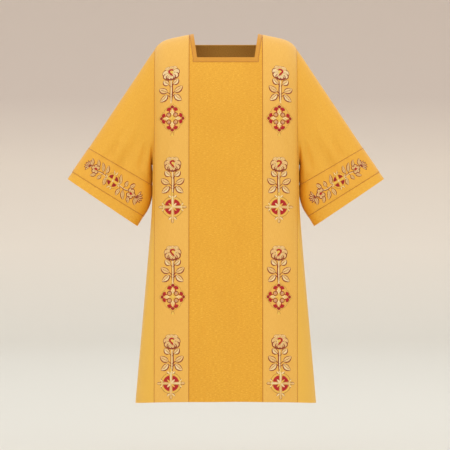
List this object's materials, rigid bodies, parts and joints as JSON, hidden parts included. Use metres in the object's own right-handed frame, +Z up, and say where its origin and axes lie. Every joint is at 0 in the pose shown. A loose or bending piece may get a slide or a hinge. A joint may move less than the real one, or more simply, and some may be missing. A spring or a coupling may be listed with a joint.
{
  "type": "dalmatic",
  "caption": "Wide-sleeved vestment with a square neck, held in its worn shape, with upright bands of paler cloth down the front and back and a band round each sleeve.",
  "frame": {"origin": "in the open neck, midway between the two neck points of the shoulder seams", "axes": "+Z up the body, the front faces -Y, +X towards the wearer's left sleeve"},
  "size_m": [1.0678, 0.3544, 1.2586],
  "materials": {
    "gold_cloth": "gold brocade with a fine metallic grain",
    "pale_gold_band": "smooth satin, a little paler and pinker than the brocade",
    "gold_satin_band": "smooth satin of the brocade's own gold",
    "deep_gold_neck_band": "deep gold satin",
    "cream_gold_thread": "raised satin stitch in pale gold thread",
    "red_thread": "satin stitch in red thread",
    "brown_thread": "fine red-brown outline stitch"
  },
  "bodies": {
    "root": {"front": "gold_cloth", "back": "gold_cloth", "sleeve_left": "gold_cloth", "sleeve_right": "gold_cloth", "clavus_left": "pale_gold_band", "clavus_right": "pale_gold_band", "sleeve_band_left": "gold_satin_band", "sleeve_band_right": "gold_satin_band", "neck_band_front": "deep_gold_neck_band", "neck_band_back": "deep_gold_neck_band"}
  },
  "joints": []
}
